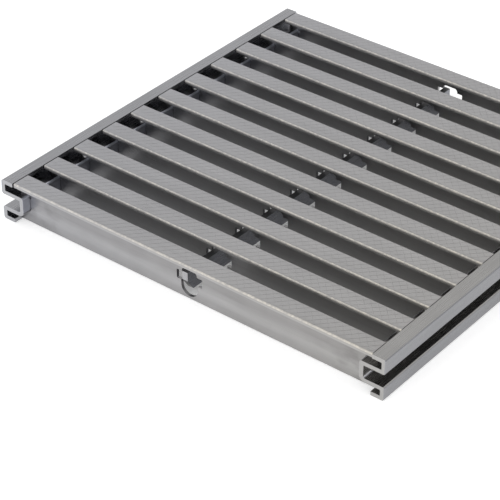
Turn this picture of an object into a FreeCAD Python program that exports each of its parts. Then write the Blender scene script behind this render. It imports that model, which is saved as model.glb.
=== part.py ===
"""Drain channel grate: eleven T slats held between two folded rails.

X runs along the slats, Y along the channel and Z up. The origin is the middle
of the underside, so the rails stand on Z = 0 and the walking surface is at HEIGHT.
"""
import FreeCAD, Part

import math
import os

from FreeCAD import Vector

# Slats
SLAT_COUNT = 11
SLAT_PITCH = 20.0
SLAT_LENGTH = 200.0
SLAT_WIDTH = 9.8
SLAT_HEAD = 2.0
SLAT_STEM = 1.5
SLAT_DROP = 0.1
SLAT_FOOT = 0.3
HEAD_TOP_RADIUS = 0.7
HEAD_ROOT_RADIUS = 0.6

# Rails
RAIL_SHEET = 2.0
RAIL_LAYERS = 4
RAIL_BEND = 0.3
RAIL_CORNER = 1.1
WEB_BEND = 0.9
UPPER_JAW = 3.601
GROOVE = 6.422
LOWER_JAW = 2.977
FLANGE_WIDTH = 6.8
WEB_SETBACK = 6.05
LOWER_REACH = 6.6
LIP_OVERREACH = 0.1
RAIL_PROUD = 0.6

# Fits between slats and rails
END_GAP = 0.4
NOTCH_RELIEF = 0.5
FOOT_GAP = 0.3
SEAT_GAP = 0.2

# Tenon at each slat end and the slot in the rail that takes it
TENON_HEAD_MARGIN = 0.5
TENON_SEAT_MARGIN = 1.1
TENON_ROOT = 0.5
TENON_PROUD = 1.0
TENON_FIT = 0.15

# Keyhole through each slat
LOBE_WIDTH = 14.3
LOBE_HEIGHT = 4.6144
ARCH_RISE = 2.2
ARCH_CORNER = 1.8
ARCH_CLEARANCE = 0.2
SLOT_WIDTH = 9.4
SLOT_SILL = 1.2
SLOT_DEPTH = 6.937
LOBE_CORNER = 0.4
KEYHOLE_SHIFT = 0.35

# Locking strip through the keyholes
STRIP_THICKNESS = 3.0
STRIP_RISE = 0.2
STRIP_WALL_GAP = 0.7
NOSE_SHARE = 0.44
NOSE_LENGTH = 3.7
COMB_DEPTH = 0.6
COMB_SIDE_GAP = 0.15
COMB_SEAT_GAP = 0.1

# Tack welds beside every second slat
TACK_RADIUS = 1.1
TACK_STEP = 2
TACK_INSET = 3.0

SAME_POINT = 1e-6


def slat_front(index):
    """Y of the front edge of a slat, with the middle slat centred on Y = 0."""
    span = (SLAT_COUNT - 1) * SLAT_PITCH + SLAT_WIDTH
    return index * SLAT_PITCH - span / 2


def stem_middle(index):
    return slat_front(index) + SLAT_WIDTH / 2


HALF_SLAT = SLAT_LENGTH / 2
JAW_EDGE = HALF_SLAT + END_GAP
RAIL_START = slat_front(0) - RAIL_PROUD
RAIL_LENGTH = -2 * RAIL_START

HEIGHT = UPPER_JAW + GROOVE + LOWER_JAW + RAIL_LAYERS * RAIL_SHEET
SHOULDER_TOP = HEIGHT - RAIL_SHEET - UPPER_JAW
GROOVE_TOP = SHOULDER_TOP - RAIL_SHEET
GROOVE_BOTTOM = GROOVE_TOP - GROOVE
WEB_BOTTOM = GROOVE_BOTTOM - RAIL_SHEET
WEB_INNER = JAW_EDGE - WEB_SETBACK
WEB_OUTER = WEB_INNER + RAIL_SHEET
NOTCH_WALL = WEB_INNER - SEAT_GAP
RELIEF_WALL = NOTCH_WALL - NOTCH_RELIEF
TENON_TOP = GROOVE_TOP - TENON_HEAD_MARGIN
TENON_BOTTOM = GROOVE_BOTTOM + TENON_SEAT_MARGIN

SLAT_TOP = HEIGHT - SLAT_DROP
SLOT_FLOOR = SLAT_FOOT + SLOT_SILL
LOBE_LOW = SLOT_FLOOR + SLOT_DEPTH
LOBE_TOP = LOBE_LOW + LOBE_HEIGHT
STRIP_LEFT = STRIP_WALL_GAP - SLOT_WIDTH / 2


def rounded_outline(corners):
    """Closed wire through (x, z, radius) corners, each rounded by a tangent arc."""
    edges = []
    starts, ends = [], []
    count = len(corners)
    for i, (x, z, radius) in enumerate(corners):
        here = Vector(x, 0, z)
        before = Vector(corners[i - 1][0], 0, corners[i - 1][1])
        after_corner = corners[(i + 1) % count]
        after = Vector(after_corner[0], 0, after_corner[1])
        inward = (before - here).normalize()
        outward = (after - here).normalize()
        if radius <= 0:
            starts.append(here)
            ends.append(here)
            continue
        half = inward.getAngle(outward) / 2
        reach = radius / math.tan(half)
        start = here + inward * reach
        end = here + outward * reach
        centre = here + (inward + outward).normalize() * (radius / math.sin(half))
        middle = centre + (here - centre).normalize() * radius
        edges.append(Part.Arc(start, middle, end).toShape())
        starts.append(start)
        ends.append(end)
    for i in range(count):
        start = ends[i]
        end = starts[(i + 1) % count]
        if start.distanceToPoint(end) > SAME_POINT:
            edges.append(Part.LineSegment(start, end).toShape())
    return Part.Wire(Part.__sortEdges__(edges))


def along_y(wire, start, length):
    face = Part.Face(wire)
    face.translate(Vector(0, start, 0))
    return face.extrude(Vector(0, length, 0))


def block(x0, x1, y0, y1, z0, z1):
    return Part.makeBox(x1 - x0, y1 - y0, z1 - z0, Vector(x0, y0, z0))


def folded_strip(path, sheet):
    """Section of a sheet folded along a square path of mid-sheet points.

    Each point is x, z and the inner and outer radius of its fold.
    """
    points = [Vector(x, 0, z) for x, z, inner, outer in path]
    left, right = [], []
    last = len(points) - 1
    for i, point in enumerate(points):
        arriving = (point - points[i - 1]).normalize() if i else None
        leaving = (points[i + 1] - point).normalize() if i < last else None
        first = arriving or leaving
        second = leaving or arriving
        shift = Vector(-first.z, 0, first.x)
        if arriving and leaving:
            shift += Vector(-second.z, 0, second.x)
        turn = first.z * second.x - first.x * second.z
        half = sheet / 2
        inner, outer = path[i][2:]
        turns_right = turn > 0
        a = point + shift * half
        b = point - shift * half
        left.append((a.x, a.z, outer if turns_right else inner))
        right.append((b.x, b.z, inner if turns_right else outer))
    return rounded_outline(left + right[::-1])


def rail_section():
    """Right rail: jaw flange, shoulder, web, lower web and lip, all one sheet."""
    half = RAIL_SHEET / 2
    upper_wall = JAW_EDGE + FLANGE_WIDTH - half
    lower_wall = JAW_EDGE + LOWER_REACH - half
    path = [
        (JAW_EDGE, HEIGHT - half, 0, 0),
        (upper_wall, HEIGHT - half, RAIL_BEND, RAIL_CORNER),
        (upper_wall, SHOULDER_TOP - half, RAIL_BEND, RAIL_CORNER),
        (WEB_INNER + half, SHOULDER_TOP - half, RAIL_BEND, RAIL_CORNER),
        (WEB_INNER + half, GROOVE_BOTTOM - half, WEB_BEND, WEB_BEND + RAIL_SHEET),
        (lower_wall, GROOVE_BOTTOM - half, RAIL_BEND, RAIL_CORNER),
        (lower_wall, half, RAIL_BEND, RAIL_CORNER),
        (JAW_EDGE - LIP_OVERREACH, half, 0, 0),
    ]
    return folded_strip(path, RAIL_SHEET)


def right_rail():
    rail = along_y(rail_section(), RAIL_START, RAIL_LENGTH)
    half_slot = SLAT_STEM / 2 + TENON_FIT
    slots = []
    for index in range(SLAT_COUNT):
        middle = stem_middle(index)
        slots.append(block(WEB_INNER - RAIL_SHEET, WEB_OUTER + RAIL_SHEET / 2,
                           middle - half_slot, middle + half_slot,
                           TENON_BOTTOM - TENON_FIT, TENON_TOP + TENON_FIT))
    return rail.cut(slots)


def mirrored(shape):
    return shape.mirror(Vector(0, 0, 0), Vector(1, 0, 0))


def slat_profile():
    """T section in (y, z), with the head's front edge on y = 0."""
    middle = SLAT_WIDTH / 2
    half = SLAT_STEM / 2
    low = SLAT_TOP - SLAT_HEAD
    corners = [
        (0, SLAT_TOP, HEAD_TOP_RADIUS),
        (0, low, 0),
        (middle - half, low, HEAD_ROOT_RADIUS),
        (middle - half, SLAT_FOOT, 0),
        (middle + half, SLAT_FOOT, 0),
        (middle + half, low, HEAD_ROOT_RADIUS),
        (SLAT_WIDTH, low, 0),
        (SLAT_WIDTH, SLAT_TOP, HEAD_TOP_RADIUS),
    ]
    return rounded_outline(corners)


def slat_bar():
    bar = along_y(slat_profile(), 0, SLAT_LENGTH)
    bar.rotate(Vector(0, 0, 0), Vector(0, 0, 1), 90)
    bar.translate(Vector(HALF_SLAT, 0, 0))
    return bar


def end_cut():
    """What is taken off the stem at the right end, so that it clears the rail."""
    middle = SLAT_WIDTH / 2
    half = SLAT_STEM / 2
    beyond = HALF_SLAT + SLAT_STEM
    low_bend = WEB_BEND + RAIL_SHEET + SEAT_GAP
    notch_low = WEB_BOTTOM - SEAT_GAP
    relief_low = notch_low + low_bend
    relief_high = SHOULDER_TOP - RAIL_CORNER
    notch = along_y(rounded_outline([
        (NOTCH_WALL, SHOULDER_TOP, RAIL_CORNER),
        (NOTCH_WALL, relief_high, 0),
        (RELIEF_WALL, relief_high, 0),
        (RELIEF_WALL, relief_low, 0),
        (NOTCH_WALL, relief_low, 0),
        (NOTCH_WALL, notch_low, low_bend),
        (beyond, notch_low, 0),
        (beyond, SHOULDER_TOP, 0),
    ]), middle - half, SLAT_STEM)
    foot_end = JAW_EDGE - LIP_OVERREACH - FOOT_GAP
    foot = block(foot_end, beyond, middle - half, middle + half,
                 SLAT_FOOT, notch_low)
    return notch.fuse(foot)


def tenon():
    middle = SLAT_WIDTH / 2
    half = SLAT_STEM / 2
    return block(RELIEF_WALL - TENON_ROOT, WEB_OUTER + TENON_PROUD,
                 middle - half, middle + half, TENON_BOTTOM, TENON_TOP)


def keyhole():
    """Opening for the strip: side lobes, an arch above them and a round slot below."""
    half_lobe = LOBE_WIDTH / 2
    half_arch = ARCH_CLEARANCE - STRIP_LEFT
    half_slot = SLOT_WIDTH / 2
    arch_top = LOBE_TOP + ARCH_RISE
    outline = rounded_outline([
        (-half_arch, arch_top, ARCH_CORNER),
        (half_arch, arch_top, ARCH_CORNER),
        (half_arch, LOBE_TOP, 0),
        (half_lobe, LOBE_TOP, LOBE_CORNER),
        (half_lobe, LOBE_LOW, LOBE_CORNER),
        (half_slot, LOBE_LOW, 0),
        (half_slot, SLOT_FLOOR, half_slot),
        (-half_slot, SLOT_FLOOR, half_slot),
        (-half_slot, LOBE_LOW, 0),
        (-half_lobe, LOBE_LOW, LOBE_CORNER),
        (-half_lobe, LOBE_TOP, LOBE_CORNER),
        (-half_arch, LOBE_TOP, 0),
    ])
    outline.translate(Vector(KEYHOLE_SHIFT, 0, 0))
    return along_y(outline, 0, SLAT_WIDTH)


def slat():
    cut = end_cut()
    body = slat_bar().cut([cut, mirrored(cut), keyhole()])
    return body.fuse([tenon(), mirrored(tenon())]).removeSplitter()


def slot_floor(x):
    """Z of the keyhole's round bottom, at a given distance from its middle."""
    radius = SLOT_WIDTH / 2
    return SLOT_FLOOR + radius - math.sqrt(radius ** 2 - x ** 2)


def lock_strip():
    """Upright strip with a sloping nose and a shallow comb notch over each stem."""
    left = KEYHOLE_SHIFT + STRIP_LEFT
    top = LOBE_TOP + STRIP_RISE
    roof = slot_floor(STRIP_LEFT) + COMB_SEAT_GAP
    low = roof - COMB_DEPTH
    front = stem_middle(0) - SLAT_STEM / 2
    back = -front
    nose_low = front + NOSE_LENGTH
    tail_low = back - NOSE_LENGTH
    nose_turn = top - NOSE_SHARE * (top - low)
    outline = Part.makePolygon([
        Vector(left, front, top),
        Vector(left, back, top),
        Vector(left, back, nose_turn),
        Vector(left, tail_low, low),
        Vector(left, nose_low, low),
        Vector(left, front, nose_turn),
        Vector(left, front, top),
    ])
    strip = Part.Face(outline).extrude(Vector(STRIP_THICKNESS, 0, 0))
    reach = SLAT_STEM / 2 + COMB_SIDE_GAP
    notches = []
    for index in range(SLAT_COUNT):
        middle = stem_middle(index)
        notches.append(block(left, left + STRIP_THICKNESS,
                             middle - reach, middle + reach, low - RAIL_SHEET, roof))
    return strip.cut(notches)


def tack_welds():
    """Small beads in the corner between a stem and the shoulder, at both ends."""
    beads = []
    reach = 2 * TACK_RADIUS
    for index in range(TACK_STEP, SLAT_COUNT - 1, TACK_STEP):
        face = stem_middle(index) - SLAT_STEM / 2
        x = HALF_SLAT - TACK_INSET
        ball = Part.makeSphere(TACK_RADIUS, Vector(x, face, SHOULDER_TOP))
        corner = block(x - reach, x + reach, face - reach, face,
                       SHOULDER_TOP, SHOULDER_TOP + reach)
        bead = ball.common(corner)
        beads.append(bead)
        beads.append(mirrored(bead))
    return Part.makeCompound(beads)


def write(name, shape):
    shape.exportStep(os.path.join("parts", name + ".step"))


def main():
    os.makedirs("parts", exist_ok=True)
    rail = right_rail()
    write("rail_right", rail)
    write("rail_left", mirrored(rail))
    one_slat = slat()
    for index in range(SLAT_COUNT):
        placed = one_slat.copy()
        placed.translate(Vector(0, slat_front(index), 0))
        write("slat_%02d" % (index + 1), placed)
    write("lock_strip", lock_strip())
    write("tack_welds", tack_welds())


main()
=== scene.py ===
"""Looks for the channel drain grate: steel, anti-slip pads, weld beads and stage."""

import math
from collections import namedtuple

import bpy
from bpy.props import FloatProperty, FloatVectorProperty, PointerProperty
from bpy.types import Operator, Panel, PropertyGroup
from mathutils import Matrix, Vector


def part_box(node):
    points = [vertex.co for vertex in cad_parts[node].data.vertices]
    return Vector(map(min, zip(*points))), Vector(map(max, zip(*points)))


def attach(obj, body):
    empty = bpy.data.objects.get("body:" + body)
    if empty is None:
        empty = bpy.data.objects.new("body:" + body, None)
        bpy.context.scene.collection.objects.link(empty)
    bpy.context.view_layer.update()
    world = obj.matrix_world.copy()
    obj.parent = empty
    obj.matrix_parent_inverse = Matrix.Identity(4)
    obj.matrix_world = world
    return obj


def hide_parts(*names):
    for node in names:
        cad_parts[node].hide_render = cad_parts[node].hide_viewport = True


bl_info = {
    "name": "Channel drain grate",
    "version": (1, 0, 0),
    "blender": (4, 5, 0),
    "location": "View3D > Sidebar > Grate",
    "description": "Finishes, anti-slip pads, weld beads and stage for a slatted grate",
    "category": "Object",
}

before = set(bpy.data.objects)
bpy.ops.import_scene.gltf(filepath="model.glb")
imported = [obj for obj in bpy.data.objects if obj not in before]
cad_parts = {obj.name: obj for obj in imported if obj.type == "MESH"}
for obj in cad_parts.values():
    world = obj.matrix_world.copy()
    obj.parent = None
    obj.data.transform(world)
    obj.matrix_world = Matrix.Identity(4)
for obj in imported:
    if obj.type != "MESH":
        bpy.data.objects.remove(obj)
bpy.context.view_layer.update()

ROOT = "root"
RAILS = ("rail_left", "rail_right")
SLATS = tuple(sorted(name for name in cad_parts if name.startswith("slat_")))
STRIP = "lock_strip"
WELDS = "tack_welds"
MM = 0.001

FIRST_LOW, FIRST_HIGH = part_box(SLATS[0])
SECOND_LOW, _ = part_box(SLATS[1])
SLAT_PITCH = SECOND_LOW.y - FIRST_LOW.y
SLAT_WIDTH = FIRST_HIGH.y - FIRST_LOW.y
SLAT_LENGTH = FIRST_HIGH.x - FIRST_LOW.x
SLAT_TOP = FIRST_HIGH.z
RAIL_LOW, RAIL_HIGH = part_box("rail_right")

# Scales of the noises, the range in which most of a noise lies, and the share of its
# scale that a noise keeps along the lines that it draws
FINE_LINES = 5200.0
BROAD_LINES = 420.0
CLOUDS = 38.0
SPECKS = 800.0
BLOTCHES = 150.0
BEAD_SKIN = 900.0
NOISE_ROUGHNESS = 0.55
NOISE_RANGE = (0.3, 0.7)
FINE_PULL = 0.012
BROAD_PULL = 0.06
BLOTCH_PULL = 0.6

# How far the steel's tone and roughness wander either way, the depth of its fine lines,
# and what one step of warmth adds to its colour
FINE_TONE = 0.05
BROAD_TONE = 0.04
CLOUD_TONE = 0.04
SPECK_TONE = 0.6
GLOSS_WANDER = 0.04
LINE_DEPTH = 0.05 * MM
WARMER_STEP = (0.005, 0.001, -0.011)

# Where the places on the steel lie. A pair says where one begins and where it is full.
FACE_MARGIN = 0.05 * MM
TOP_MARGIN = 0.02 * MM
FRONT_MARGIN = 0.2 * MM
FRONT_REACH = 1.0 * MM
OUTER_REACH = 0.5 * MM
BEND_REACH = 3.0 * MM
BEND_TILT = (0.1, 0.4)
HEAD_FRONT = (2.0 * MM, 1.2 * MM)
HEAD_DEPTH = 2.05 * MM
EDGE_HIGHLIGHT_FRONT = (0.9 * MM, 0.7 * MM)
STEM_UPPER = (7.0 * MM, 11.5 * MM)
STEM_LOWER = (0.0, 6.0 * MM)
STEM_LOWER_SHARE = 0.8
STAIN_RUN = (70.0 * MM, 90.0 * MM)
STAIN_MIDDLE_SHARE = 0.15
STAIN_BAND = (0.45, 0.62)
FACING = 0.7

# Pads: the share of its foot that a pad's top keeps, the share of a groove that comes
# off a pad's half size, and what brings a three-sided cone to one unit deep and one
# unit to either side of its tip, with how far its base then lies from its middle
PAD_TOP_SHARE = 0.985
GROOVE_SHARE = 0.7
TRIANGLE_DEPTH = 0.6667
TRIANGLE_WIDTH = 1.1547
TRIANGLE_BASE = 0.3333

# Weld beads
BEAD_SHAPE = (1.3, 1.0, 0.85)
BEAD_SEED = 3.0
BEAD_ROUGHNESS = 0.3
BEAD_BUMP = 0.02

# Stage
# Share of the floor's glow that the camera sees under the grate, a painted shadow there
UNDER_GRATE_GLOW = 0.35
FRONT_LAMP_AT = (-0.35, -1.1, 0.55)
FRONT_LAMP_SIZE = 0.9
SIDE_LAMP_AT = (0.855, -0.96, 0.77)
SIDE_LAMP_SIZE = 1.3
SENSOR_WIDTH = 36.0
CLIP_START = 0.01

# Part of a surface with its own look: a function that makes its mask, the factor for
# its tone, and what is added to its roughness and its warmth
Place = namedtuple("Place", "mask tone rougher warmer", defaults=(0.0, 0.0))


# Settings that a user would change

class GrateSizes(PropertyGroup):
    """Sizes of what is added to the solids."""

    pad_length: FloatProperty(
        name="Pad spacing", default=4.0 * MM, unit="LENGTH",
        description="Distance from one pad to the next along a slat")
    pad_width: FloatProperty(
        name="Row spacing", default=2.1 * MM, unit="LENGTH",
        description="Distance across a slat between two rows of pads")
    pad_groove: FloatProperty(
        name="Groove", description="Width of the fine groove between two pads",
        default=0.07 * MM, unit="LENGTH")
    pad_sink: FloatProperty(
        name="Pad sink", description="How far a pad's foot lies in the slat's head",
        default=0.03 * MM, unit="LENGTH")
    bead_size: FloatProperty(
        name="Bead size", description="Radius of a tack weld's bead",
        default=1.15 * MM, unit="LENGTH")
    bead_roughness: FloatProperty(
        name="Bead unevenness", description="How far a bead's skin wanders",
        default=0.16 * MM, unit="LENGTH")


class GrateFinish(PropertyGroup):
    """Colours of the steel, as they would be measured under plain white light."""

    slat: FloatVectorProperty(
        name="Slats", description="Colour of the slats", subtype="COLOR", size=3,
        min=0.0, max=1.0, default=(0.41, 0.405, 0.41))
    rail: FloatVectorProperty(
        name="Rails", description="Colour of the folded rails", subtype="COLOR", size=3,
        min=0.0, max=1.0, default=(0.35, 0.348, 0.352))
    strip: FloatVectorProperty(
        name="Locking strip", description="Colour of the locking strip",
        subtype="COLOR", size=3, min=0.0, max=1.0, default=(0.40, 0.40, 0.41))
    weld: FloatVectorProperty(
        name="Welds", description="Colour of the weld beads", subtype="COLOR", size=3,
        min=0.0, max=1.0, default=(0.56, 0.555, 0.55))
    roughness: FloatProperty(
        name="Roughness", description="Roughness of the slats' brushed steel",
        subtype="FACTOR", min=0.0, max=1.0, default=0.34)
    rail_roughness: FloatProperty(
        name="Rail roughness", subtype="FACTOR", min=0.0, max=1.0, default=0.26,
        description="Roughness of the rails and the locking strip")


class GrateStage(PropertyGroup):
    """Floor, light and camera."""

    floor: FloatVectorProperty(
        name="Floor", description="Colour of the floor", subtype="COLOR", size=3,
        min=0.0, max=1.0, default=(0.9, 0.9, 0.9))
    floor_size: FloatProperty(
        name="Floor size", description="Side of the square floor", default=12.0,
        unit="LENGTH")
    floor_glow: FloatProperty(
        name="Floor glow", default=0.4, min=0.0,
        description="Light added to the floor where the camera sees it")
    mirror_glow: FloatProperty(
        name="Mirrored glow", description="Light added to the floor seen in the steel",
        default=0.36, min=0.0)
    world_light: FloatProperty(
        name="Room light", description="Strength of the even light from all round",
        default=0.86, min=0.0)
    key_light: FloatProperty(
        name="Front light", description="Power of the wide lamp in front",
        default=2.2, min=0.0, unit="POWER")
    side_light: FloatProperty(
        name="Side light", description="Power of the lamp in front on the right",
        default=2.5, min=0.0, unit="POWER")
    lens: FloatProperty(
        name="Lens", description="Focal length of the camera in millimetres",
        default=143.95)
    azimuth: FloatProperty(
        name="Azimuth", description="Camera's turn from looking along +Y",
        default=math.radians(38.698), subtype="ANGLE")
    elevation: FloatProperty(
        name="Elevation", description="Camera's angle above the horizon",
        default=math.radians(34.841), subtype="ANGLE")
    camera_place: FloatVectorProperty(
        name="Camera place", description="Where the camera stands", size=3,
        subtype="TRANSLATION", unit="LENGTH", default=(0.45856, -0.63095, 0.51331))


# Node tree helpers

class Tree:
    """Builds a node tree from short calls and lays the nodes out in a row."""

    def __init__(self, tree):
        self.tree = tree
        self.count = 0

    def node(self, kind, settings=None, **inputs):
        made = self.tree.nodes.new(kind)
        made.location = (220 * (self.count % 12), -260 * (self.count // 12))
        self.count += 1
        for name, value in (settings or {}).items():
            setattr(made, name, value)
        for name, value in inputs.items():
            self.put(made.inputs[name.replace("_", " ")], value)
        return made

    def put(self, socket, value):
        if isinstance(value, bpy.types.NodeSocket):
            self.tree.links.new(value, socket)
        else:
            socket.default_value = value

    def math(self, operation, first, second=0.0, third=0.0):
        made = self.node("ShaderNodeMath", {"operation": operation})
        for socket, value in zip(made.inputs, (first, second, third)):
            self.put(socket, value)
        return made.outputs[0]

    def ramp(self, value, start, stop, low=0.0, high=1.0):
        """low up to start, high from stop on, and a straight slope between them."""
        made = self.node("ShaderNodeMapRange", Value=value)
        for name, level in (("From Min", start), ("From Max", stop),
                            ("To Min", low), ("To Max", high)):
            made.inputs[name].default_value = level
        return made.outputs[0]

    def vector(self, operation, first, second):
        made = self.node("ShaderNodeVectorMath", {"operation": operation})
        self.put(made.inputs[0], first)
        self.put(made.inputs[1], second)
        return made.outputs[0]

    def scale(self, vector, factor):
        made = self.node("ShaderNodeVectorMath", {"operation": "SCALE"})
        self.put(made.inputs[0], vector)
        self.put(made.inputs["Scale"], factor)
        return made.outputs[0]

    def combine(self, x, y, z):
        made = self.node("ShaderNodeCombineXYZ")
        for socket, value in zip(made.inputs, (x, y, z)):
            self.put(socket, value)
        return made.outputs[0]


def new_material(name):
    """An empty material, and what builds its node tree."""
    material = bpy.data.materials.new(name)
    material.use_nodes = True
    material.node_tree.nodes.clear()
    return material, Tree(material.node_tree)


def noise(tree, scale, detail, stretch=(1.0, 1.0, 1.0)):
    """A noise on the object coordinates, which a small stretch pulls out into lines."""
    coordinates = tree.node("ShaderNodeTexCoord").outputs["Object"]
    made = tree.node("ShaderNodeTexNoise", Scale=scale, Detail=detail,
                     Vector=tree.vector("MULTIPLY", coordinates, stretch),
                     Roughness=NOISE_ROUGHNESS)
    return made.outputs["Fac"]


def wander(tree, value, middle, reach):
    """Maps a noise to values that lie up to reach from the middle."""
    return tree.ramp(value, *NOISE_RANGE, middle - reach, middle + reach)


def axes_of(tree, vector):
    """X, Y and Z of a vector."""
    return tree.node("ShaderNodeSeparateXYZ", Vector=vector).outputs


def own_axes(tree):
    """X, Y and Z of the object coordinates."""
    return axes_of(tree, tree.node("ShaderNodeTexCoord").outputs["Object"])


def facing(tree):
    """X, Y and Z of the surface's normal."""
    return axes_of(tree, tree.node("ShaderNodeNewGeometry").outputs["Normal"])


def tinted(tree, colour, warmth, factor):
    """The colour, warmer by a small step times warmth, times a grey factor."""
    drift = tree.scale(WARMER_STEP, warmth)
    return tree.scale(tree.vector("ADD", drift, colour), factor)


# Masks for the places on the steel that have their own look: painted highlights,
# painted shade and stains

def cut_ends(tree):
    """1 on the rails' cut ends, which face the front and carry a painted highlight."""
    out = tree.math("ABSOLUTE", own_axes(tree)["Y"])
    return tree.math("GREATER_THAN", out, RAIL_HIGH.y - FACE_MARGIN)


def outer_sides(tree):
    """1 on the rails' outermost faces, which carry painted shade with a bluish cast."""
    out = tree.math("ABSOLUTE", own_axes(tree)["X"])
    return tree.math("GREATER_THAN", out, RAIL_HIGH.x - OUTER_REACH)


def web_faces(tree):
    """1 on the rails' webs where they face each other, which carry a painted bluish
    reflection.
    """
    out = tree.math("ABSOLUTE", own_axes(tree)["X"])
    return tree.math("LESS_THAN", out, RAIL_LOW.x + FACE_MARGIN)


def bends(tree):
    """1 on the bends above the rails' webs, where a painted bluish highlight goes."""
    normal = facing(tree)
    tilt = tree.math("MULTIPLY", normal["Z"], tree.math("ABSOLUTE", normal["X"]))
    out = tree.math("ABSOLUTE", own_axes(tree)["X"])
    inner = tree.math("LESS_THAN", out, RAIL_LOW.x + BEND_REACH)
    return tree.math("MULTIPLY", inner, tree.ramp(tilt, *BEND_TILT))


def slat_fronts(tree, start, stop):
    """1 near each slat's front, from stop below its top up, fading out at start."""
    axes = own_axes(tree)
    from_front = tree.math("SUBTRACT", axes["Y"], FIRST_LOW.y - FRONT_MARGIN)
    from_front = tree.math("MODULO", from_front, SLAT_PITCH)
    front = tree.math("LESS_THAN", from_front, FRONT_REACH)
    fade = tree.ramp(axes["Z"], SLAT_TOP - start, SLAT_TOP - stop)
    below_top = tree.math("LESS_THAN", axes["Z"], SLAT_TOP - TOP_MARGIN)
    return tree.math("MULTIPLY", tree.math("MULTIPLY", front, fade), below_top)


def head_fronts(tree):
    """1 on the upper part of each slat's front, fading towards the head's underside,
    where a painted warm highlight goes.
    """
    return slat_fronts(tree, *HEAD_FRONT)


def edge_highlights(tree):
    """A painted highlight of bright specks along each slat's rounded front edge."""
    specks = wander(tree, noise(tree, SPECKS, 1.0), 1.0, SPECK_TONE)
    return tree.math("MULTIPLY", slat_fronts(tree, *EDGE_HIGHLIGHT_FRONT), specks)


def below_heads(tree):
    """1 on what lies below the slats' heads."""
    return tree.math("LESS_THAN", own_axes(tree)["Z"], SLAT_TOP - HEAD_DEPTH)


def stems(tree):
    """Painted shade on the slats' stems below the heads: full on their upper part, none
    from about 6 to 7 mm up, and rising again towards their lower edge.
    """
    height = own_axes(tree)["Z"]
    upper = tree.ramp(height, *STEM_UPPER)
    lower = tree.ramp(height, *STEM_LOWER, STEM_LOWER_SHARE, 0.0)
    return tree.math("MULTIPLY", below_heads(tree), tree.math("ADD", upper, lower))


def stains(tree):
    """Faint blotches on the first slat's stem, towards its ends."""
    axes = own_axes(tree)
    first = tree.math("LESS_THAN", axes["Y"], FIRST_LOW.y + SLAT_WIDTH)
    near_end = tree.ramp(tree.math("ABSOLUTE", axes["X"]), *STAIN_RUN,
                         STAIN_MIDDLE_SHARE)
    blotches = noise(tree, BLOTCHES, 3.0, (BLOTCH_PULL, 1.0, 1.0))
    blotches = tree.ramp(blotches, *STAIN_BAND)
    mask = tree.math("MULTIPLY", first, below_heads(tree))
    return tree.math("MULTIPLY", mask, tree.math("MULTIPLY", near_end, blotches))


def top_faces(tree):
    """1 on faces that point upwards; on the locking strip these carry painted shade."""
    return tree.math("GREATER_THAN", facing(tree)["Z"], FACING)


def side_faces(tree):
    """1 on faces that point along X; on the locking strip these carry painted shade
    with a bluish cast.
    """
    across = tree.math("ABSOLUTE", facing(tree)["X"])
    return tree.math("GREATER_THAN", across, FACING)


# The finish, and what turns a node tree's result into a piece

def steel(name, colour, roughness, along, bump=0.04, places=()):
    """Brushed steel whose fine lines run along one axis, given as "X" or "Y", with each
    place's tone laid on, mostly painted light or shade.
    """
    material, tree = new_material(name)

    def pulled(amount):
        return (amount, 1.0, 1.0) if along == "X" else (1.0, amount, 1.0)

    fine = noise(tree, FINE_LINES, 2.0, pulled(FINE_PULL))
    broad = noise(tree, BROAD_LINES, 3.0, pulled(BROAD_PULL))
    cloud = noise(tree, CLOUDS, 3.0)
    tone = tree.math("MULTIPLY", wander(tree, fine, 1.0, FINE_TONE),
                     wander(tree, broad, 1.0, BROAD_TONE))
    tone = tree.math("MULTIPLY", tone, wander(tree, cloud, 1.0, CLOUD_TONE))
    gloss = tree.math("ADD", wander(tree, fine, 0.0, GLOSS_WANDER),
                      wander(tree, cloud, roughness, GLOSS_WANDER))
    warmth = tree.ramp(own_axes(tree)["X"], -SLAT_LENGTH / 2, SLAT_LENGTH / 2, low=-1.0)
    for there in places:
        mask = there.mask(tree)
        change = tree.math("MULTIPLY_ADD", mask, there.tone - 1.0, 1.0)
        tone = tree.math("MULTIPLY", tone, change)
        gloss = tree.math("MULTIPLY_ADD", mask, there.rougher, gloss)
        warmth = tree.math("MULTIPLY_ADD", mask, there.warmer, warmth)
    lines = tree.node("ShaderNodeBump", Strength=bump, Distance=LINE_DEPTH, Height=fine)
    shader = tree.node("ShaderNodeBsdfPrincipled", Metallic=1.0)
    tree.put(shader.inputs["Base Color"], tinted(tree, colour, warmth, tone))
    tree.put(shader.inputs["Roughness"], gloss)
    tree.put(shader.inputs["Normal"], lines.outputs[0])
    output = tree.node("ShaderNodeOutputMaterial")
    tree.put(output.inputs["Surface"], shader.outputs[0])
    return material


def dress(node, material):
    """Gives a CAD node its finish."""
    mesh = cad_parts[node].data
    mesh.materials.clear()
    mesh.materials.append(material)


def flat_mesh(holder, name):
    """Turns a modifier's result into a plain mesh that rides on the grate."""
    bpy.context.view_layer.update()
    graph = bpy.context.evaluated_depsgraph_get()
    mesh = bpy.data.meshes.new_from_object(holder.evaluated_get(graph))
    holder.modifiers.clear()
    holder.data = mesh
    mesh.name = name
    if not mesh.polygons:
        raise RuntimeError("The node tree for %s made nothing" % name)
    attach(holder, ROOT)
    return holder


def node_object(name, group, values):
    """An empty mesh object that runs a node group with the given input values."""
    holder = bpy.data.objects.new(name, bpy.data.meshes.new(name))
    bpy.context.scene.collection.objects.link(holder)
    modifier = holder.modifiers.new(name, "NODES")
    modifier.node_group = group
    for item in group.interface.items_tree:
        is_input = item.item_type == "SOCKET" and item.in_out == "INPUT"
        if is_input and item.name in values:
            modifier[item.identifier] = values[item.name]
    return holder


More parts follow.
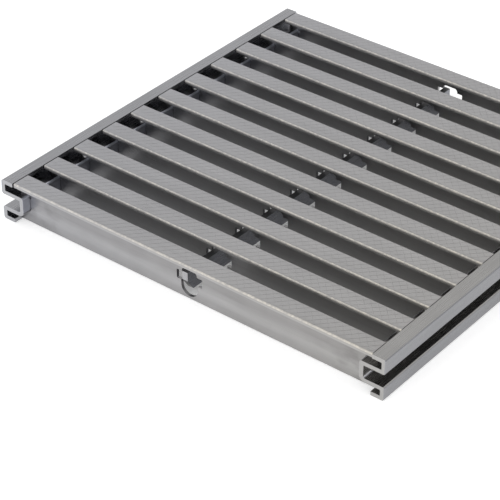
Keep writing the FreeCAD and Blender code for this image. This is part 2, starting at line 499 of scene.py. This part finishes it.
def new_group(name, sockets):
    """A geometry node group with named inputs and one geometry output."""
    group = bpy.data.node_groups.new(name, "GeometryNodeTree")
    kinds = {"length": "NodeSocketFloat", "count": "NodeSocketInt",
             "place": "NodeSocketVector", "finish": "NodeSocketMaterial",
             "mesh": "NodeSocketGeometry"}
    for socket, kind in sockets:
        group.interface.new_socket(socket, in_out="INPUT", socket_type=kinds[kind])
    group.interface.new_socket("Geometry", in_out="OUTPUT",
                               socket_type="NodeSocketGeometry")
    tree = Tree(group)
    return group, tree, tree.node("NodeGroupInput").outputs


def finish_group(tree, geometry, material):
    """Ends a tree with Realize Instances and Set Material."""
    real = tree.node("GeometryNodeRealizeInstances", Geometry=geometry)
    dressed = tree.node("GeometryNodeSetMaterial", Geometry=real.outputs[0],
                        Material=material)
    output = tree.node("NodeGroupOutput")
    tree.put(output.inputs[0], dressed.outputs[0])


# Node groups for the pads and the weld beads

def pad_tree():
    """Rows of low pads with fine grooves between them, on every slat's head."""
    group, tree, given = new_group("anti_slip_pads", [
        ("Slat count", "count"), ("Slat pitch", "length"), ("First slat", "place"),
        ("Pads along", "count"), ("Pad spacing", "length"), ("Row spacing", "length"),
        ("Groove", "length"), ("Height", "length"), ("Finish", "finish"),
    ])

    def shape(sides):
        cone = tree.node("GeometryNodeMeshCone", {"fill_type": "NGON"}, Vertices=sides,
                         Radius_Top=PAD_TOP_SHARE, Radius_Bottom=1.0, Depth=1.0)
        return cone.outputs["Mesh"]

    def line(count, start, offset):
        made = tree.node("GeometryNodeMeshLine", {"mode": "OFFSET"}, Count=count,
                         Start_Location=start, Offset=offset)
        return made.outputs["Mesh"]

    def row_of(count, x, y):
        return line(count, tree.combine(x, y, 0.0), tree.combine(spacing, 0.0, 0.0))

    def instances(points, instance, scale, turn=0.0):
        made = tree.node("GeometryNodeInstanceOnPoints", Points=points,
                         Instance=instance, Scale=scale, Rotation=(0.0, 0.0, turn))
        return made.outputs[0]

    spacing, row = given["Pad spacing"], given["Row spacing"]
    along, groove = given["Pads along"], given["Groove"]
    fewer = tree.math("SUBTRACT", along, 1.0)
    half_spacing = tree.math("MULTIPLY", spacing, 0.5)
    outer_x = tree.math("MULTIPLY", tree.math("MULTIPLY", fewer, spacing), -0.5)
    inner_x = tree.math("ADD", outer_x, half_spacing)
    trim = tree.math("MULTIPLY", groove, GROOVE_SHARE)
    pad_x = tree.math("SUBTRACT", half_spacing, trim)
    pad_y = tree.math("SUBTRACT", row, trim)
    pad_scale = tree.combine(pad_x, pad_y, given["Height"])
    half_scale = tree.combine(tree.math("MULTIPLY", pad_y, TRIANGLE_DEPTH),
                              tree.math("MULTIPLY", pad_x, TRIANGLE_WIDTH),
                              given["Height"])
    edge = tree.math("MULTIPLY", row, 2.0)
    low_edge = tree.math("SUBTRACT", tree.math("MULTIPLY", pad_y, TRIANGLE_BASE), edge)
    high_edge = tree.math("MULTIPLY", low_edge, -1.0)
    back = tree.math("MULTIPLY", row, -1.0)
    diamond, half = shape(4), shape(3)
    quarter = math.pi / 2
    parts = [
        instances(row_of(along, outer_x, row), diamond, pad_scale),
        instances(row_of(along, outer_x, back), diamond, pad_scale),
        instances(row_of(fewer, inner_x, 0.0), diamond, pad_scale),
        instances(row_of(fewer, inner_x, low_edge), half, half_scale, quarter),
        instances(row_of(fewer, inner_x, high_edge), half, half_scale, -quarter),
    ]
    joined = tree.node("GeometryNodeJoinGeometry")
    for part in parts:
        tree.put(joined.inputs[0], part)
    heads = line(given["Slat count"], given["First slat"],
                 tree.combine(0.0, given["Slat pitch"], 0.0))
    placed = tree.node("GeometryNodeInstanceOnPoints", Points=heads,
                       Instance=joined.outputs[0])
    finish_group(tree, placed.outputs[0], given["Finish"])
    return group


def bead_tree():
    """Uneven weld beads at the points of the object's own mesh."""
    group, tree, given = new_group("weld_beads", [
        ("Points", "mesh"), ("Bead size", "length"), ("Unevenness", "length"),
        ("Seed", "length"), ("Finish", "finish"),
    ])
    ball = tree.node("GeometryNodeMeshIcoSphere", Subdivisions=4,
                     Radius=given["Bead size"])
    placed = tree.node("GeometryNodeInstanceOnPoints", Points=given["Points"],
                       Instance=ball.outputs["Mesh"], Scale=BEAD_SHAPE)
    real = tree.node("GeometryNodeRealizeInstances", Geometry=placed.outputs[0])
    where = tree.node("GeometryNodeInputPosition").outputs[0]
    skin = tree.node("ShaderNodeTexNoise", {"noise_dimensions": "4D"}, Vector=where,
                     W=given["Seed"], Scale=BEAD_SKIN, Detail=2.0)
    push = tree.math("MULTIPLY", tree.math("SUBTRACT", skin.outputs["Fac"], 0.5),
                     given["Unevenness"])
    normal = tree.node("GeometryNodeInputNormal").outputs[0]
    moved = tree.node("GeometryNodeSetPosition", Geometry=real.outputs[0],
                      Offset=tree.scale(normal, tree.math("MULTIPLY", push, 2.0)))
    smooth = tree.node("GeometryNodeSetShadeSmooth", Geometry=moved.outputs[0])
    finish_group(tree, smooth.outputs[0], given["Finish"])
    return group


# One operator for each group of pieces

class GRATE_OT_rails(Operator):
    """Give both folded rails their brushed finish, with painted highlights and shade"""

    bl_idname = "grate.rails"
    bl_label = "Finish the rails"

    def execute(self, context):
        finish = context.scene.grate_finish
        # Painted light: a highlight on the cut ends, bluish shade on the outer sides,
        # and a bluish reflection and highlight on the webs and bends
        places = [Place(cut_ends, tone=1.15),
                  Place(outer_sides, tone=0.78, warmer=-2.0),
                  Place(web_faces, tone=1.5, rougher=0.1, warmer=-2.0),
                  Place(bends, tone=2.0, rougher=0.2, warmer=-2.0)]
        material = steel("rail_brushed_painted_light", finish.rail, finish.rail_roughness, "Y",
                         places=places)
        for rail in RAILS:
            dress(rail, material)
        return {"FINISHED"}


class GRATE_OT_slats(Operator):
    """Give the slats their brushed finish, with painted highlights and shade"""

    bl_idname = "grate.slats"
    bl_label = "Finish the slats"

    def execute(self, context):
        finish = context.scene.grate_finish
        # Painted light: a warm highlight on the head fronts, a specked highlight on the
        # front edges, and shade on the stems
        places = [Place(head_fronts, tone=1.12, rougher=0.34, warmer=1.0),
                  Place(edge_highlights, tone=1.3, warmer=1.2),
                  Place(stems, tone=0.78, warmer=0.3),
                  Place(stains, tone=0.8, rougher=0.05)]
        material = steel("slat_brushed_painted_light", finish.slat, finish.roughness, "X",
                         places=places)
        for slat in SLATS:
            dress(slat, material)
        return {"FINISHED"}


class GRATE_OT_lock_strip(Operator):
    """Give the locking strip its finish, with painted shade on its top and sides"""

    bl_idname = "grate.lock_strip"
    bl_label = "Finish the locking strip"

    def execute(self, context):
        finish = context.scene.grate_finish
        # Painted shade: darker upward faces and darker bluish sides on the locking
        # strip
        places = [Place(top_faces, tone=0.3, rougher=0.3),
                  Place(side_faces, tone=0.68, warmer=-2.0)]
        dress(STRIP, steel("strip_brushed_painted_shade", finish.strip, finish.rail_roughness, "Y",
                           places=places))
        return {"FINISHED"}


class GRATE_OT_pads(Operator):
    """Lay the anti-slip pads on the slats' heads"""

    bl_idname = "grate.pads"
    bl_label = "Anti-slip pads"

    def execute(self, context):
        sizes = context.scene.grate_sizes
        material = bpy.data.materials.get("slat_brushed_painted_light")
        if material is None:
            raise RuntimeError("Finish the slats before their pads are laid")
        height = RAIL_HIGH.z - SLAT_TOP + sizes.pad_sink
        middle = FIRST_LOW.y + SLAT_WIDTH / 2
        holder = node_object("anti_slip_pads", pad_tree(), {
            "Slat count": len(SLATS),
            "Slat pitch": SLAT_PITCH,
            "First slat": (0.0, middle, SLAT_TOP - sizes.pad_sink),
            "Pads along": round(SLAT_LENGTH / sizes.pad_length),
            "Pad spacing": sizes.pad_length,
            "Row spacing": sizes.pad_width,
            "Groove": sizes.pad_groove,
            "Height": height,
            "Finish": material,
        })
        flat_mesh(holder, "anti_slip_pads")
        return {"FINISHED"}


def bead_middles():
    """The inner corner of each weld solid, where stem and shoulder meet."""
    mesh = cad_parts[WELDS].data
    groups = {}
    for vertex in mesh.vertices:
        side = 1 if vertex.co.x > 0 else -1
        index = round((vertex.co.y - FIRST_LOW.y - SLAT_WIDTH / 2) / SLAT_PITCH)
        groups.setdefault((side, index), []).append(vertex.co.copy())
    middles = []
    for corners in groups.values():
        x = (min(c.x for c in corners) + max(c.x for c in corners)) / 2
        y = max(c.y for c in corners)
        middles.append(Vector((x, y, min(c.z for c in corners))))
    return middles


class GRATE_OT_welds(Operator):
    """Shape the tack welds as uneven beads"""

    bl_idname = "grate.welds"
    bl_label = "Weld beads"

    def execute(self, context):
        sizes = context.scene.grate_sizes
        finish = context.scene.grate_finish
        material = steel("weld_metal", finish.weld, BEAD_ROUGHNESS, "X", BEAD_BUMP)
        values = {"Bead size": sizes.bead_size, "Unevenness": sizes.bead_roughness,
                  "Seed": BEAD_SEED, "Finish": material}
        holder = node_object("weld_beads", bead_tree(), values)
        holder.data.from_pydata(bead_middles(), [], [])
        flat_mesh(holder, "weld_beads")
        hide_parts(WELDS)
        return {"FINISHED"}


# Stage

def outside_grate(tree):
    """1 on the floor round the grate and 0 under it, inside the rails and end stems,
    where the floor's glow is cut back as a painted shadow.
    """
    axes = own_axes(tree)
    end_stem = -FIRST_LOW.y - SLAT_WIDTH / 2
    inside_x = tree.math("LESS_THAN", tree.math("ABSOLUTE", axes["X"]), RAIL_LOW.x)
    inside_y = tree.math("LESS_THAN", tree.math("ABSOLUTE", axes["Y"]), end_stem)
    return tree.math("SUBTRACT", 1.0, tree.math("MULTIPLY", inside_x, inside_y))


def stage_floor(settings):
    """A pale square floor that glows where the camera or the steel sees it, less under
    the grate as a painted shadow.
    """
    half = settings.floor_size / 2
    mesh = bpy.data.meshes.new("floor")
    corners = [(-half, -half, 0), (half, -half, 0), (half, half, 0), (-half, half, 0)]
    mesh.from_pydata(corners, [], [(0, 1, 2, 3)])
    floor = bpy.data.objects.new("floor", mesh)
    bpy.context.scene.collection.objects.link(floor)
    material, tree = new_material("floor_paint")
    path = tree.node("ShaderNodeLightPath").outputs
    paint = tree.node("ShaderNodeBsdfDiffuse")
    paint.inputs["Color"].default_value = (*settings.floor, 1.0)
    outside = outside_grate(tree)
    # Painted shadow: under the grate the camera sees only part of the floor's glow, and
    # the steel sees none of it
    seen = tree.math("MULTIPLY", path["Is Camera Ray"], settings.floor_glow)
    seen = tree.math("MULTIPLY", seen, tree.ramp(outside, 0.0, 1.0, UNDER_GRATE_GLOW))
    mirrored = tree.math("MULTIPLY", path["Is Glossy Ray"], settings.mirror_glow)
    mirrored = tree.math("MULTIPLY", mirrored, outside)
    glow = tree.node("ShaderNodeEmission", Strength=tree.math("ADD", seen, mirrored))
    both = tree.node("ShaderNodeAddShader")
    tree.put(both.inputs[0], paint.outputs[0])
    tree.put(both.inputs[1], glow.outputs[0])
    output = tree.node("ShaderNodeOutputMaterial")
    tree.put(output.inputs["Surface"], both.outputs[0])
    mesh.materials.append(material)


def stage_world(settings):
    """Even light from all round, which the camera sees as plain white."""
    world = bpy.data.worlds.new("studio")
    world.use_nodes = True
    world.node_tree.nodes.clear()
    tree = Tree(world.node_tree)
    seen = tree.node("ShaderNodeLightPath").outputs["Is Camera Ray"]
    extra = tree.math("MULTIPLY", seen, 1.0 - settings.world_light)
    sky = tree.node("ShaderNodeBackground")
    sky.inputs["Color"].default_value = (1.0, 1.0, 1.0, 1.0)
    tree.put(sky.inputs["Strength"], tree.math("ADD", extra, settings.world_light))
    output = tree.node("ShaderNodeOutputWorld")
    tree.put(output.inputs["Surface"], sky.outputs[0])
    bpy.context.scene.world = world


def area_lamp(name, stand, size, power):
    """A square lamp that shines from where it stands at the grate's middle."""
    lamp = bpy.data.lights.new(name, "AREA")
    lamp.shape = "SQUARE"
    lamp.size = size
    lamp.energy = power
    holder = bpy.data.objects.new(name, lamp)
    holder.location = stand
    holder.rotation_euler = (-Vector(stand)).to_track_quat("-Z", "Y").to_euler()
    bpy.context.scene.collection.objects.link(holder)


def stage_camera(settings):
    """The camera, where the photo's camera stood."""
    camera = bpy.data.cameras.new("camera")
    camera.lens = settings.lens
    camera.sensor_width = SENSOR_WIDTH
    camera.clip_start = CLIP_START
    holder = bpy.data.objects.new("camera", camera)
    holder.location = settings.camera_place
    holder.rotation_euler = (math.pi / 2 - settings.elevation, 0.0, settings.azimuth)
    bpy.context.scene.collection.objects.link(holder)
    bpy.context.scene.camera = holder


class GRATE_OT_stage(Operator):
    """Set up the pale floor, the soft light and the camera"""

    bl_idname = "grate.stage"
    bl_label = "Stage"

    def execute(self, context):
        settings = context.scene.grate_stage
        stage_floor(settings)
        stage_world(settings)
        area_lamp("front_light", FRONT_LAMP_AT, FRONT_LAMP_SIZE, settings.key_light)
        area_lamp("side_light", SIDE_LAMP_AT, SIDE_LAMP_SIZE, settings.side_light)
        stage_camera(settings)
        context.scene.view_settings.view_transform = "Standard"
        return {"FINISHED"}


class VIEW3D_PT_grate(Panel):
    """Lists the steps that dress the grate"""

    bl_label = "Channel drain grate"
    bl_idname = "VIEW3D_PT_grate"
    bl_space_type = "VIEW_3D"
    bl_region_type = "UI"
    bl_category = "Grate"

    def draw(self, context):
        for step in STEPS:
            self.layout.operator(step.bl_idname)
        for settings in (context.scene.grate_sizes, context.scene.grate_finish,
                         context.scene.grate_stage):
            box = self.layout.box()
            for name in settings.__annotations__:
                box.prop(settings, name)


STEPS = (GRATE_OT_rails, GRATE_OT_slats, GRATE_OT_lock_strip, GRATE_OT_pads,
         GRATE_OT_welds, GRATE_OT_stage)
CLASSES = (GrateSizes, GrateFinish, GrateStage, *STEPS, VIEW3D_PT_grate)


def register():
    for cls in CLASSES:
        bpy.utils.register_class(cls)
    bpy.types.Scene.grate_sizes = PointerProperty(type=GrateSizes)
    bpy.types.Scene.grate_finish = PointerProperty(type=GrateFinish)
    bpy.types.Scene.grate_stage = PointerProperty(type=GrateStage)


def unregister():
    del bpy.types.Scene.grate_stage
    del bpy.types.Scene.grate_finish
    del bpy.types.Scene.grate_sizes
    for cls in reversed(CLASSES):
        bpy.utils.unregister_class(cls)


def main():
    register()
    bpy.ops.grate.rails()
    bpy.ops.grate.slats()
    bpy.ops.grate.lock_strip()
    bpy.ops.grate.pads()
    bpy.ops.grate.welds()
    bpy.ops.grate.stage()


if __name__ == "__main__":
    main()
